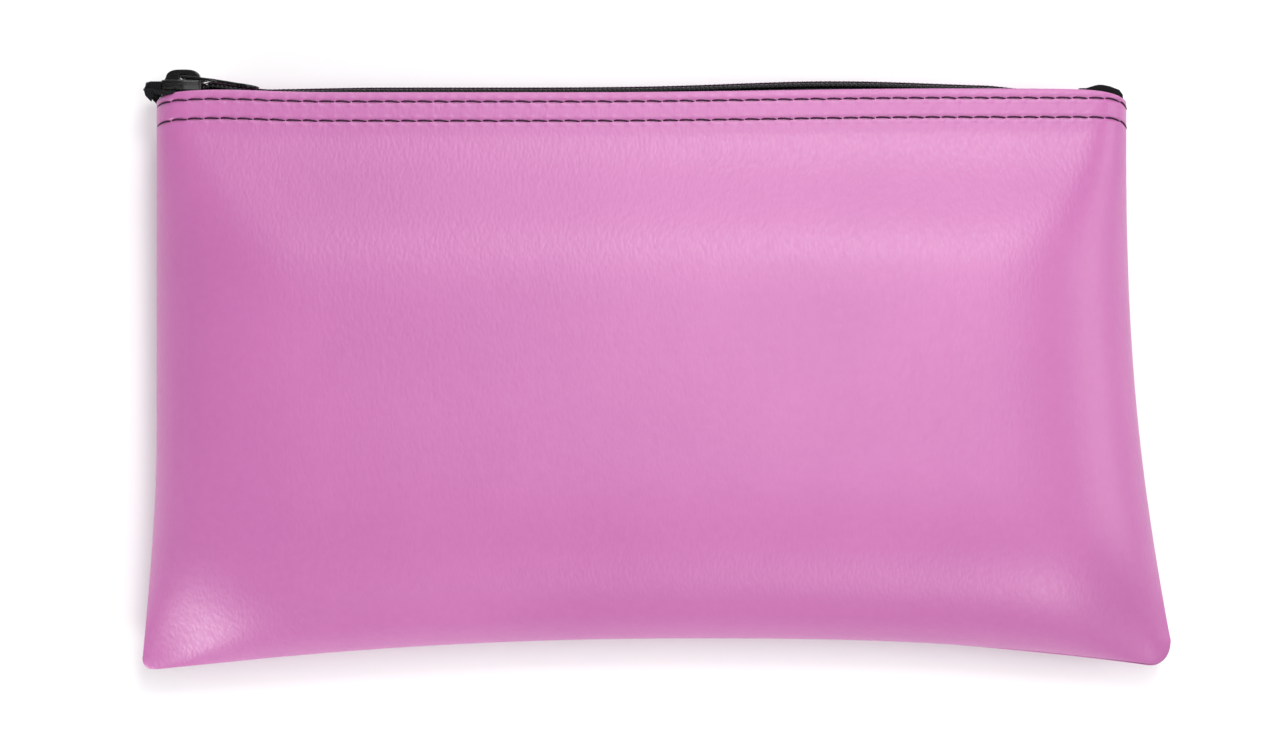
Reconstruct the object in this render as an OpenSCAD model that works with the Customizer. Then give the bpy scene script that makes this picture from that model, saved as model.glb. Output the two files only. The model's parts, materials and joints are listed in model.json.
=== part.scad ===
// Zippered vinyl cash deposit bag, 11 x 6 in, lying on its back panel.
// X runs along the zipper, Y from the bottom seam to the zipper, Z is the thickness.
// The origin is the middle of the footprint, on the surface that the bag lies on.

/* [Bag] */
// Distance across the two bottom corners
bag_w = 279.6; // [260:0.2:300]
// Distance from the bottom corners to the top of the slider's bridge
bag_h = 163.0; // [150:0.5:175]
// Thickness of the filled bag
bag_t = 32; // [28:0.5:40]
// Height of the side and bottom seams above the table
seam_z = 13; // [11:0.5:16]
// Thickness of the coated vinyl sheet
sheet_t = 1.0; // [0.6:0.1:1.2]
// Width of the edge that is turned in under the zipper
hem_w = 11; // [8:0.5:14]
// Half the thickness of the bag at the zipper
rim_half = 7.5; // [7:0.1:9]

/* [Stitching] */
// Length from one needle hole to the next
stitch_pitch = 4.4; // [3:0.1:6]
// Diameter of the sewing thread
thread_d = 0.5; // [0.3:0.05:0.7]
// Distance from the zipper edge of the sheet to the first row
row_1 = 2.4; // [2:0.1:4]
// Distance from the zipper edge of the sheet to the second row
row_2 = 7.7; // [6:0.1:9]

/* [Zipper] */
// Distance from one loop of the coil to the next
coil_pitch = 1.25; // [1.1:0.05:1.5]
// Height of the coil above its tape
coil_h = 1.9; // [1.6:0.1:2.2]
// Thickness of the woven tape
tape_t = 0.5; // [0.4:0.05:0.7]
// Distance that the slider travels from closed to open
travel = 236; // [200:1:238]
// Height that the slider holds the closed end of the chain above the rest of it
lift = 1.6; // [1:0.1:2]
// Length of the slider
slider_len = 11; // [10.5:0.5:12]
// Length of the pull tab from its pivot to its end
pull_len = 20.5; // [18:0.5:22]

/* [Mouth] */
// Distance from the bag's middle to the line that the mouth flap bends on
mouth_y = 5; // [-10:1:20]
// Left end of the part of the mouth that lifts
mouth_x0 = -118; // [-122:1:-100]
// Right end of the part of the mouth that lifts
mouth_x1 = 92; // [80:1:96]

/* [Hidden] */

BACK = -1;
FRONT = 1;
half_w = bag_w / 2;
half_h = bag_h / 2;
gap = 0.3;                        // air between two soft solids

// Outline of the bag in plan. The sides flare and the bottom is hollow between the corners.
flare_left = 4.4;                 // how far each side comes in at the zipper
flare_right = 12.6;
flare_left_y = -20;               // each side is straight above this
flare_right_y = 60;
flare_left_bend = 1.7;            // how late each side bends out
flare_right_bend = 2.35;
arch_x = 10;                      // top of the hollow in the bottom edge
arch_end = 4.6;                   // the hollow ends this far from each corner
arch_h = 8.7;                     // depth of the hollow below the left and the right half
arch_h_right = 7.5;
arch_bend_left = 2.1;
arch_bend_right = 2.6;
corner_left = 3;                  // radii of the bottom corners
corner_right = 7;
hem_drop = 1.4;                   // how far the hem falls at its two ends
hem_drop_run = 10;
x_left = -half_w + flare_left;    // side seams at the zipper
x_right = half_w - flare_right;
y_hem = half_h - 6.5;             // zipper edge of the sheets, below the slider's bridge
y_arch = -half_h + arch_h;        // middle of the bottom seam

// Panels
front_h = bag_t - seam_z - gap / 2;
back_h = seam_z + 0.25;           // the back panel is cut flat where it rests
nu = 30;                          // cells along the zipper
nv = 18;                          // cells from the seam to the zipper
crowding = 0.55;                  // share of the cells' spacing that crowds to the edges
reach_hem = 9;                    // distance from a side seam to the full height, at the hem
reach_side = 38;                  // and in the body of the bag
reach_bottom = 40;
reach_run = 55;                   // the reach grows over this distance below the hem
belly_run = 50;                   // and the height over this one
puff = 2.3;                       // how early a panel reaches its height
puff_edge = 0.62;                 // how steep it leaves its seam

// Levels of the chain along Y where it is level, from the inside of the bag outwards
y_tape = y_hem - 1.9;             // inner face of the tape where it crosses to the coil
y_coil = y_tape + tape_t + 0.05;
y_chain_top = y_coil + coil_h;
tape_edge_z = 1.2;                // edge of each tape under its coil
tape_wall_z = rim_half - 2 * sheet_t - tape_t;
tape_w = 15;
coil_tip = 0.65;                  // how far the loops pass the middle of the chain
coil_back = 2.65;                 // outer side of each coil row
coil_core = 1.9;                  // middle of each row's hollow
coil_loop = 0.5;                  // width of one loop
coil_root = 1.1;                  // where the loops join the back of their row
coil_bore = 0.8;                  // hollow that holds the filler cord
cord_r = 0.32;
coil_thread_r = 0.1;              // thread that sews the coil to the tape

// Slider, at the closed end
slider_inset = 7.3;               // from the side seam to the slider's middle, with the bag closed
slider_x = x_left + slider_inset;
spread_x = slider_x + 2.5;        // left of this the two coil rows run apart
spread_z = 1.5;
spread_run = 5;
wing_gap = 0.3;
wing_t = 0.7;
wing_wide = 5.1;                  // half-width of the upper wing where the rows part
wing_narrow = 4.2;                // and at its heel
wing_top = y_chain_top + lift + wing_gap + wing_t;
bridge_h = half_h - wing_top;
bridge_w = 2.8;
bar_r = 0.5;                      // the bar that the pull tab turns on
bar_rise = 0.95;                  // and its height above the upper wing
pivot_y = wing_top + bar_rise;

// The chain in plan: raised at the slider, then a slope, then level to the open end
slope_run = 17;
slider_free = 0.6;                // space from the slider's end to the slope, and to the bottom stop
chain_x0 = x_left - 2.6;
chain_x1 = x_right - 5.6;
slope_x0 = slider_x + slider_len / 2 + slider_free;
slope_x1 = slope_x0 + slope_run;
slope = atan2(lift, slope_run);
stop_x = slider_x + travel + slider_len / 2 + slider_free;

function clamp(a) = min(1, max(0, a));
function smooth(a) = let (t = clamp(a)) t * t * (3 - 2 * t);
// Rise of a filled panel from its seam: steep at the seam, flat after `reach`
function rise(d, reach) = pow(1 - pow(1 - clamp(d / reach), puff), puff_edge);
// What a rounded corner takes off an edge, at a distance from the corner
function rounded(d, r) = r - sqrt(r * r - pow(r - min(max(d, 0), r), 2));

function edge_left(y) =
    x_left - flare_left
    * pow(clamp((flare_left_y - y) / (half_h + flare_left_y - corner_left)), flare_left_bend);
function edge_right(y) =
    x_right + flare_right
    * pow(clamp((flare_right_y - y) / (half_h + flare_right_y - corner_right - 1)), flare_right_bend);
function edge_bottom(x) =
    let (d = clamp(abs(x - arch_x) / (half_w - arch_end - sign(x - arch_x) * arch_x)))
    y_arch + rounded(x + half_w, corner_left) + rounded(half_w - x, corner_right)
    - (x < arch_x ? arch_h * pow(d, arch_bend_left) : arch_h_right * pow(d, arch_bend_right));
function edge_top(x) =
    y_hem - hem_drop * pow(clamp(1 - min(x - x_left, x_right - x) / hem_drop_run), 2);

// Height of a panel over the seam plane, from its distances to the bottom and the two sides
function height(y, bottom, left, right, full, rim) =
    let (reach = reach_hem + (reach_side - reach_hem) * smooth((y_hem - y) / reach_run))
    (rim + (full - rim) * smooth((y_hem - y) / belly_run))
    * rise(bottom, reach_bottom) * rise(left, reach) * rise(right, reach);
function full(side) = side == FRONT ? front_h : back_h;

// A point of a panel's outer face, or of a face `depth` inside it; u and v run from 0 to 1
function panel_point(side, u, v, depth) =
    let (x_out = -half_w + bag_w * u,
         y0 = edge_bottom(x_out) + depth,
         y = y0 + (edge_top(x_left + (x_right - x_left) * u) - y0) * v,
         x0 = edge_left(y) + depth,
         x1 = edge_right(y) - depth,
         x = x0 + (x1 - x0) * u)
    [x, y, seam_z + side * (gap / 2
        + height(y, y - y0, x - x0, x1 - x, full(side) - depth, rim_half - depth))];

// The sheet is twice as thick where its edge is turned in under the zipper
function thickness(u, v) =
    v > 1 - hem_w / (y_hem - y_arch) && u > 0.1 && u < 0.9 ? 2 * sheet_t : sheet_t;

// Steps from 0 to 1 that are closer together at both ends
function steps(n) =
    [for (i = [0:n]) (1 - crowding) * i / n + crowding * (1 - cos(180 * i / n)) / 2];

// One panel as a closed shell: its outer face, its inner face and the cut edge between them
module sheet(side) {
    us = steps(nu);
    vs = steps(nv);
    n = len(us);
    m = len(vs);
    points = [for (k = [0, 1]) for (v = vs) for (u = us) panel_point(side, u, v, k * thickness(u, v))];
    function at(k, j, i) = k * n * m + j * n + i;
    // Each cell is split along the diagonal that runs out of the nearer bottom corner
    faces = [for (k = [0, 1]) for (j = [0:m - 2]) for (i = [0:n - 2])
        let (p = at(k, j, i), q = at(k, j, i + 1), r = at(k, j + 1, i + 1), s = at(k, j + 1, i),
             cell = i < nu / 2 ? [p, q, r, s] : [q, r, s, p],
             loop = (k == 0) == (side == FRONT) ? [cell[0], cell[3], cell[2], cell[1]] : cell)
        each [[loop[0], loop[1], loop[2]], [loop[0], loop[2], loop[3]]]];
    rim = concat([for (i = [0:n - 1]) [0, i]], [for (j = [1:m - 1]) [j, n - 1]],
                 [for (i = [n - 2:-1:0]) [m - 1, i]], [for (j = [m - 2:-1:1]) [j, 0]]);
    rim_faces = [for (k = [0:len(rim) - 1])
        let (p = rim[k], q = rim[(k + 1) % len(rim)],
             a = at(0, p[0], p[1]), b = at(0, q[0], q[1]), c = at(1, q[0], q[1]), d = at(1, p[0], p[1]))
        each side == FRONT ? [[a, b, c], [a, c, d]] : [[a, c, b], [a, d, c]]];
    polyhedron(points, concat(faces, rim_faces));
}

// The part of the front sheet that lifts when the mouth is pulled open
module mouth_zone(margin) {
    translate([mouth_x0 - margin, mouth_y - margin, 0])
        cube([mouth_x1 - mouth_x0 + 2 * margin, bag_h, bag_t + 10]);
}

// The corner is open where the zipper's closed end comes out of the bag
module chain_notch() {
    x0 = x_left - 1;
    y0 = y_tape + lift - wing_gap - wing_t - gap;
    half_z = wing_wide + gap;
    translate([x0, y0, seam_z - half_z])
        cube([slider_x + slider_len / 2 + gap - x0, half_h - y0, 2 * half_z]);
}

module back_panel() {
    color("orchid") difference() {
        sheet(BACK);
        chain_notch();
        translate([-bag_w, -bag_h, -bag_t]) cube([2 * bag_w, 2 * bag_h, bag_t]);
    }
}

module front_panel() {
    color("orchid") difference() {
        sheet(FRONT);
        mouth_zone(gap);
        chain_notch();
    }
}

module front_panel_mouth() {
    color("orchid") intersection() {
        sheet(FRONT);
        mouth_zone(0);
    }
}

// Height of the chain above its level stretch
function chain_rise(x) = lift * clamp((slope_x1 - x) / slope_run);

// A stretch of the chain in plan, between two levels
module chain_band(y0, y1, x0, x1) {
    xs = [x0, slope_x0, slope_x1, x1];
    polygon(concat([for (x = xs) [x, y0 + chain_rise(x)]],
                   [for (i = [3:-1:0]) [xs[i], y1 + chain_rise(xs[i])]]));
}

// Draws a plan between two distances from the middle, on the side of the front or the back panel
module layer(side, z0, z1) {
    translate([0, 0, seam_z + min(side * z0, side * z1)]) linear_extrude(z1 - z0) children();
}

// One half of the zipper tape: flat under the coil, then turned down behind the hem.
// It is cut narrow where it runs past the side seams.
module zipper_tape(side) {
    tail_w = 1.6;
    x1 = chain_x1 + 2;
    wide_x0 = x_left + reach_hem;
    wide_x1 = x_right - reach_hem;
    low = y_tape - tape_w;
    outer_z = tape_wall_z + tape_t;
    color("#1a1a1c") difference() {
        layer(side, tape_edge_z, outer_z) chain_band(low, y_tape + tape_t, chain_x0, x1);
        layer(side, 0, tape_wall_z) chain_band(low - 1, y_tape, chain_x0 - 1, x1 + 1);
        layer(side, tape_edge_z + tail_w, outer_z + 1) {
            translate([chain_x0 - 1, low - 1]) square([wide_x0 - chain_x0 + 1, bag_h]);
            translate([wide_x1, low - 1]) square([x1 - wide_x1 + 1, bag_h]);
        }
    }
}

// How far a coil row stands off the middle of the chain, where the slider parts the rows
function spread(x) = spread_z * smooth((spread_x - x) / spread_run);

// One coil row seen along Y: a back with a loop at every pitch, which meshes with the other row
module coil_profile(side) {
    x0 = chain_x0;
    x1 = chain_x1;
    margin = 0.3;
    first = x0 + margin + (side == FRONT ? 0 : coil_pitch / 2);
    count = floor((x1 - margin - coil_loop - first) / coil_pitch) + 1;
    xs = [for (i = [0:count - 1]) first + i * coil_pitch];
    polygon(concat(
        [[x0, side * (spread(x0) + coil_root)]],
        [for (x = xs) let (z = spread(x)) each [
            [x, side * (z + coil_root)], [x, side * (z - coil_tip)],
            [x + coil_loop, side * (z - coil_tip)], [x + coil_loop, side * (z + coil_root)]]],
        [[x1, side * coil_root], [x1, side * coil_back], [spread_x, side * coil_back]],
        [for (i = [count - 1:-1:0]) if (xs[i] < spread_x) [xs[i], side * (spread(xs[i]) + coil_back)]],
        [[x0, side * (spread(x0) + coil_back)]]));
}

module zipper_coil(side) {
    color("#101012") difference() {
        intersection() {
            translate([0, y_chain_top + lift + 1, seam_z]) rotate([90, 0, 0])
                linear_extrude(coil_h + lift + 2) coil_profile(side);
            layer(side, -rim_half, rim_half) chain_band(y_coil, y_chain_top, chain_x0 - 1, chain_x1 + 1);
        }
        translate([slope_x1 + 0.4, y_coil + coil_h / 2, seam_z + side * coil_core])
            translate([0, -coil_bore / 2, -coil_bore / 2])
            cube([chain_x1 - slope_x1, coil_bore, coil_bore]);
    }
}

// Filler cord in the hollow of the coil, along the level stretch
module coil_cord(side) {
    color("#1c1c1e")
        translate([slope_x1 + 0.8, y_coil + coil_h / 2, seam_z + side * coil_core])
        rotate([0, 90, 0]) cylinder(r = cord_r, h = chain_x1 - slope_x1 - 2, $fn = 24);
}

// Thread that sews the coil to the tape, lying on the tape's inner face
module stitch_stretch(side, length) {
    stitch = 2 * coil_pitch;
    space = 0.4;
    for (i = [0:floor(length / stitch) - 1])
        translate([i * stitch, -coil_thread_r - 0.03, seam_z + side * coil_core])
            rotate([0, 90, 0]) cylinder(r = coil_thread_r, h = stitch - space, $fn = 16);
}

module coil_stitching(side) {
    first = spread_x + 0.3;
    last = chain_x1 - 2;
    color("#202022") {
        translate([first, y_tape + lift, 0]) stitch_stretch(side, slope_x0 - first);
        translate([slope_x0, y_tape + lift, 0]) rotate([0, 0, -slope]) translate([0.4, 0, 0])
            stitch_stretch(side, slope_run);
        translate([slope_x1 + 0.6, y_tape, 0]) stitch_stretch(side, last - slope_x1);
    }
}

// Crimped clip that keeps the slider from leaving the chain
module top_stop(side) {
    clip_w = 2.2;
    clip_depth = 4.7;
    wall = 0.5;
    inner_z = 0.3;
    slack = 0.1;
    inner_h = coil_h + tape_t + 2 * slack;
    z0 = side == FRONT ? inner_z : -inner_z - clip_depth;
    color("#26262a")
        translate([chain_x0 - clip_w / 2, y_tape + lift - slack, seam_z + z0])
        difference() {
            translate([0, -wall, 0]) cube([clip_w, inner_h + 2 * wall, clip_depth]);
            translate([-1, 0, side == FRONT ? -1 : wall]) cube([clip_w + 2, inner_h, clip_depth - wall + 1]);
        }
}

// Staple over both rows at the open end, with its feet on the tape
module bottom_stop() {
    staple_w = 2.4;
    wall = 0.4;
    slack = 0.1;
    inner_z = coil_back + 0.2;
    foot_y = y_tape + tape_t + 0.05;
    leg = y_chain_top + slack - foot_y;
    color("#26262a") translate([stop_x, foot_y, seam_z]) difference() {
        translate([0, 0, -inner_z - wall]) cube([staple_w, leg + wall, 2 * (inner_z + wall)]);
        translate([-1, -1, -inner_z]) cube([staple_w + 2, leg + 1, 2 * inner_z]);
    }
}

hole_gap = 0.7;                   // space between one stitch and the next, at a needle hole
// A row of stitches lying on a panel, `inset` in from its zipper edge
module hem_thread(side, inset) {
    r = thread_d / 2;
    first = x_left + 12;
    count = floor((x_right - 12 - first) / stitch_pitch);
    color("#241428") for (i = [0:count - 1])
        let (x = first + i * stitch_pitch, y = y_hem - inset,
             lift = height(y, y - y_arch, x - x_left, x_right - x, full(side), rim_half))
        translate([x, y, seam_z + side * (gap + lift + r)])
            rotate([0, 90, 0]) cylinder(r = r, h = stitch_pitch - hole_gap, $fn = 16);
}

// Stitches that close the two sheets, lying between them just inside the outline
seam_inset = 0.6;
module seam_thread(ends) {
    color("#241428") for (i = [0:len(ends) - 2])
        let (a = ends[i], b = ends[i + 1], along = b - a)
        translate([a[0], a[1], seam_z]) rotate([0, 90, atan2(along[1], along[0])])
            cylinder(r = gap / 2 - 0.03, h = norm(along) - hole_gap, $fn = 16);
}

module side_seam_thread(side) {
    first = y_arch + 4;
    count = floor((y_hem - 6 - first) / stitch_pitch);
    seam_thread([for (i = [0:count])
        let (y = first + i * stitch_pitch)
        [side < 0 ? edge_left(y) + seam_inset : edge_right(y) - seam_inset, y]]);
}

module bottom_seam_thread() {
    first = -half_w + 8;
    count = floor((half_w - 12 - first) / stitch_pitch);
    seam_thread([for (i = [0:count])
        let (x = first + i * stitch_pitch) [x, edge_bottom(x) + seam_inset]]);
}

// Plan of a slider wing: wide at the left, where the rows part, and narrow at the heel
module wing(wide, narrow, thick) {
    rotate([90, 0, 0]) linear_extrude(thick)
        offset(r = 1, $fn = 24) offset(delta = -1)
            polygon([[-slider_len / 2, -wide], [0, -wide], [slider_len / 2, -narrow],
                     [slider_len / 2, narrow], [0, wide], [-slider_len / 2, wide]]);
}

module slider_body() {
    flange_t = 0.55;
    flange_y = y_coil + lift + 0.3;
    flange_h = wing_top - wing_t / 2 - flange_y;
    inner_y = y_tape + lift - wing_gap;
    post_x = -slider_len / 2 + 0.3;
    color("#18181a") translate([slider_x, 0, seam_z]) {
        translate([0, wing_top, 0]) wing(wing_wide, wing_narrow, wing_t);
        translate([0, inner_y, 0]) wing(wing_wide - 0.7, wing_narrow - 0.4, wing_t);
        for (s = [-1, 1]) {
            translate([-slider_len / 2 + 1, flange_y, s > 0 ? wing_wide - flange_t : -wing_wide])
                cube([slider_len / 2 - 0.6, flange_h, flange_t]);
            translate([0.2, flange_y, s > 0 ? wing_narrow - flange_t : -wing_narrow])
                cube([slider_len / 2 - 1, flange_h, flange_t]);
        }
        translate([post_x, inner_y - wing_t / 2, -0.6]) cube([2.3, wing_top - inner_y, 1.2]);
        translate([0, wing_top, 0]) bridge();
    }
}

// The arch that the pull tab hangs on
module bridge() {
    foot = 4.65;
    window_x = 1.7;
    window_r = 1.15;
    window_y = 0.2;
    translate([0, 0, -bridge_w / 2]) linear_extrude(bridge_w) difference() {
        intersection() {
            scale([foot, bridge_h]) circle(r = 1, $fn = 64);
            translate([-foot, -0.2]) square([2 * foot, bridge_h + 1]);
        }
        for (x = [-window_x, window_x]) translate([x, window_y + window_r]) circle(r = window_r, $fn = 32);
        translate([-window_x, window_y]) square([2 * window_x, 2 * window_r]);
    }
}

// A flat tab on a round bar. It clears the wing's end, then slopes down until it rests on the chain.
module pull_tab() {
    half_z = 3.1;
    tip_t = 0.7;
    tip_x = slider_x + pull_len;
    chain_at_tip = y_chain_top + chain_rise(tip_x);
    spine = [                     // X and Y from the pivot, and half the thickness
        [0, 0, bar_r],
        [slider_len / 2 + 0.7, -0.5, 0.4],
        [pull_len, chain_at_tip + 0.12 + tip_t / 2 - pivot_y, tip_t / 2]
    ];
    color("#18181a") translate([slider_x, pivot_y, seam_z]) {
        translate([0, 0, -half_z]) cylinder(r = bar_r, h = 2 * half_z, $fn = 32);
        intersection() {
            translate([0, 0, -bag_t / 2]) linear_extrude(bag_t) polygon(concat(
                [for (p = spine) [p[0], p[1] - p[2]]],
                [for (i = [len(spine) - 1:-1:0]) [spine[i][0], spine[i][1] + spine[i][2]]]));
            rotate([90, 0, 0]) translate([0, 0, -pull_len]) linear_extrude(2 * pull_len) tab_plan(half_z);
        }
    }
}

// Plan of the tab: a window for the bridge, a waist and a round end with a hole
module tab_plan(half_z) {
    end_r = 3.4;
    waist_x = 8.5;
    waist = 2.7;
    window_end = 6.6;
    window_z = bridge_w / 2 + 0.35;
    difference() {
        union() {
            translate([0, -half_z]) square([waist_x + 0.1, 2 * half_z]);
            translate([waist_x, -waist]) square([pull_len - end_r - waist_x, 2 * waist]);
            translate([pull_len - end_r, 0]) circle(r = end_r, $fn = 48);
        }
        translate([-1, -window_z]) square([window_end + 1, 2 * window_z]);
        translate([pull_len - end_r, 0]) circle(r = 1.4, $fn = 32);
    }
}

back_panel();
front_panel();
front_panel_mouth();
zipper_tape(BACK);  // zipper_tape_back
zipper_tape(FRONT);  // zipper_tape_front
zipper_coil(BACK);  // zipper_coil_back
zipper_coil(FRONT);  // zipper_coil_front
coil_cord(BACK);  // coil_cord_back
coil_cord(FRONT);  // coil_cord_front
coil_stitching(BACK);  // coil_stitching_back
coil_stitching(FRONT);  // coil_stitching_front
top_stop(BACK);  // top_stop_back
top_stop(FRONT);  // top_stop_front
bottom_stop();
hem_thread(BACK, row_1);  // back_hem_thread_upper
hem_thread(BACK, row_2);  // back_hem_thread_lower
hem_thread(FRONT, row_1);  // front_hem_thread_upper
hem_thread(FRONT, row_2);  // front_hem_thread_lower
side_seam_thread(-1);  // side_seam_thread_left
side_seam_thread(1);  // side_seam_thread_right
bottom_seam_thread();
slider_body();
pull_tab();
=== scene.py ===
import json
import math

import bmesh
import bpy
import numpy as np
from mathutils import Matrix, Vector


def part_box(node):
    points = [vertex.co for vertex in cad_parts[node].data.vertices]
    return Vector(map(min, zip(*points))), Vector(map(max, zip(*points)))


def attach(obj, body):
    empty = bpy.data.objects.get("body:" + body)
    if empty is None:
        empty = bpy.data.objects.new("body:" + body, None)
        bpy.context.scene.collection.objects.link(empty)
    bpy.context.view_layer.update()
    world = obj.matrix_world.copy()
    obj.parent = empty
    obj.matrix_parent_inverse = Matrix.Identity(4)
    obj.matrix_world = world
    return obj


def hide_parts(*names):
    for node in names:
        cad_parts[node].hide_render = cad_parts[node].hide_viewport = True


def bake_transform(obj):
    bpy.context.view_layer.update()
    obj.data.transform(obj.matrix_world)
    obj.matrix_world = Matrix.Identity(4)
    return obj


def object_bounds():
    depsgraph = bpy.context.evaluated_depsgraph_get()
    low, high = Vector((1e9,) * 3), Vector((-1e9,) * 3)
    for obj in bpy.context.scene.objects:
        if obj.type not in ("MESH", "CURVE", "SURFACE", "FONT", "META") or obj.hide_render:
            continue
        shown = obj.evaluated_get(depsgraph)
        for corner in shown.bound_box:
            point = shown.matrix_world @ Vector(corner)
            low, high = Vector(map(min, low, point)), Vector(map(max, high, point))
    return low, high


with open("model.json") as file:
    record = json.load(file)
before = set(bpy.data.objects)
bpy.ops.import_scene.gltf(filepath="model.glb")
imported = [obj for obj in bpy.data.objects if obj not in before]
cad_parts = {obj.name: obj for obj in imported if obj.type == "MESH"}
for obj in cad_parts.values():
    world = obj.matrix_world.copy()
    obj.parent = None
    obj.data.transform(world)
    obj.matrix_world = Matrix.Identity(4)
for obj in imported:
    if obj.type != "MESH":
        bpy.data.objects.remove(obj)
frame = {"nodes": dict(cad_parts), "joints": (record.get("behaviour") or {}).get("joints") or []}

# Shapes are worked out in millimetres, and become metres when their mesh is made.
MM = 0.001
FRONT, BACK = 1, -1
cad_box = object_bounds()


# ---------------------------------------------------------------- sizes from the frame
def box_mm(node):
    low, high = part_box(node)
    return np.array(low) / MM, np.array(high) / MM


def joint(name):
    return next(j for j in frame["joints"] if j["name"] == name)


bag_low, bag_high = (np.array(corner) / MM for corner in cad_box)
slider_low, slider_high = box_mm("slider_body")
HALF_W = (bag_high[0] - bag_low[0]) / 2
HALF_H = (bag_high[1] - bag_low[1]) / 2
SEAM_Z = (slider_low[2] + slider_high[2]) / 2
SLIDER_X = (slider_low[0] + slider_high[0]) / 2
SLIDER_HALF = (slider_high[0] - slider_low[0]) / 2
Y_HEM = box_mm("front_panel_mouth")[1][1]
PIVOT = np.array(joint("pull_swing")["pos_m"]) / MM
TRAVEL = joint("slider_travel")
LIFT = -TRAVEL["axis"][1] * TRAVEL["range_m"][1] / MM     # the slider holds the closed end this much higher
TAPE_X0, TAPE_X1 = (corner[0] for corner in box_mm("zipper_tape_back"))
CORD_LOW, CORD_HIGH = box_mm("coil_cord_front")

# The bag's own numbers, as in the CAD model
GAP = 0.3                  # between the two sheets at the seam
SHEET = 1.0                # thickness of the coated vinyl
HEM_W = 11.0               # width that is turned in at the zipper
X_LEFT = -HALF_W + 4.4
X_RIGHT = HALF_W - 12.6
RIM = 7.5                  # height of a panel's zipper edge over the seam plane
SIDE_REACH = (9, 38)       # width over which a panel rises from a side seam: at the zipper, and lower down
BOTTOM_REACH = 40
CORNER_R = 21              # the lower corners lie flatter within about this far of their points
FRONT_H = bag_high[2] - SEAM_Z - GAP / 2
BACK_H = SEAM_Z + 0.25
ROWS = (2.6, 7.8)          # the two rows of stitches, measured from the hem's edge
PITCH = 4.4                # of the sewn stitches
COIL_PITCH = 1.25
COIL_H = 1.9
TAPE_T = 0.5
Y_COIL = CORD_LOW[1] + (CORD_HIGH[1] - CORD_LOW[1]) / 2 - COIL_H / 2
Y_TAPE = Y_COIL - TAPE_T - 0.05


def clamp(a):
    return np.clip(a, 0.0, 1.0)


def smooth(a):
    t = clamp(a)
    return t * t * (3 - 2 * t)


def ease(a):
    """Like smooth(), with no step in its curvature either, so that it doesn't show in a reflection."""
    t = clamp(a)
    return t ** 3 * (t * (6 * t - 15) + 10)


def bell(x, middle, width):
    return np.exp(-(((x - middle) / width) ** 2))


# ---------------------------------------------------------------- materials
def material(name, colour, roughness, **sockets):
    """A Principled material. The values that are the same all over sit on its own sockets."""
    made = bpy.data.materials.new(name)
    made.use_nodes = True
    shader = made.node_tree.nodes["Principled BSDF"]
    shader.inputs["Base Color"].default_value = (*colour, 1)
    shader.inputs["Roughness"].default_value = roughness
    for socket, value in sockets.items():
        shader.inputs[socket.replace("_", " ")].default_value = value
    return made


class Nodes:
    """Short ways to add and join nodes in one material."""

    def __init__(self, made):
        self.tree = made.node_tree
        self.shader = self.tree.nodes["Principled BSDF"]
        coordinates = self.tree.nodes.new("ShaderNodeTexCoord")
        self.place = coordinates.outputs["Object"]

    def add(self, kind, inputs=None, **settings):
        node = self.tree.nodes.new(kind)
        for name, value in settings.items():
            setattr(node, name, value)
        for key, value in (inputs or {}).items():
            if isinstance(value, bpy.types.NodeSocket):
                self.tree.links.new(value, node.inputs[key])
            else:
                node.inputs[key].default_value = value
        return node

    def mapped(self, scale=(1, 1, 1), turn=0.0):
        return self.add("ShaderNodeMapping", {"Vector": self.place, "Scale": scale,
                                              "Rotation": (0, 0, turn)}).outputs[0]

    def noise(self, size_mm, detail=2.0, vector=None, rough=0.5):
        return self.add("ShaderNodeTexNoise", {"Vector": vector or self.place, "Scale": 1 / (size_mm * MM),
                                               "Detail": detail, "Roughness": rough}).outputs["Fac"]

    def cells(self, size_mm, vector=None, feature="SMOOTH_F1"):
        return self.add("ShaderNodeTexVoronoi", {"Vector": vector or self.place, "Scale": 1 / (size_mm * MM)},
                        feature=feature).outputs["Distance"]

    def wave(self, size_mm, direction, vector=None, distortion=0.0):
        # Blender's wave has 2 * pi / 20 of a turn per unit, so its scale carries that factor
        return self.add("ShaderNodeTexWave", {"Vector": vector or self.place,
                                              "Scale": 2 * math.pi / 20 / (size_mm * MM),
                                              "Distortion": distortion},
                        bands_direction=direction).outputs["Fac"]

    def math(self, operation, a, b=0.0, c=0.0):
        node = self.add("ShaderNodeMath", operation=operation)
        for i, value in enumerate((a, b, c)):
            if isinstance(value, bpy.types.NodeSocket):
                self.tree.links.new(value, node.inputs[i])
            else:
                node.inputs[i].default_value = value
        return node.outputs[0]

    def spread(self, value, low, high, from_low=0.0, from_high=1.0):
        return self.add("ShaderNodeMapRange", {"Value": value, "From Min": from_low, "From Max": from_high,
                                               "To Min": low, "To Max": high}).outputs[0]

    def mix(self, share, a, b):
        node = self.add("ShaderNodeMix", data_type="RGBA")
        self.tree.links.new(share, node.inputs[0])
        for i, colour in ((6, a), (7, b)):
            if isinstance(colour, bpy.types.NodeSocket):
                self.tree.links.new(colour, node.inputs[i])
            else:
                node.inputs[i].default_value = (*colour, 1)
        return node.outputs[2]

    def bump(self, height, strength, depth_mm, before=None):
        inputs = {"Height": height, "Strength": strength, "Distance": depth_mm * MM}
        if before is not None:
            inputs["Normal"] = before
        return self.add("ShaderNodeBump", inputs).outputs[0]

    def use(self, colour=None, roughness=None, normal=None):
        for socket, value in (("Base Color", colour), ("Roughness", roughness), ("Normal", normal)):
            if value is not None:
                self.tree.links.new(value, self.shader.inputs[socket])


def srgb(*channels):
    """A colour as seen on screen, from 0 to 255, in Blender's linear values."""
    return tuple(((c / 255 + 0.055) / 1.055) ** 2.4 if c > 10 else c / 255 / 12.92 for c in channels)


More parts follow.
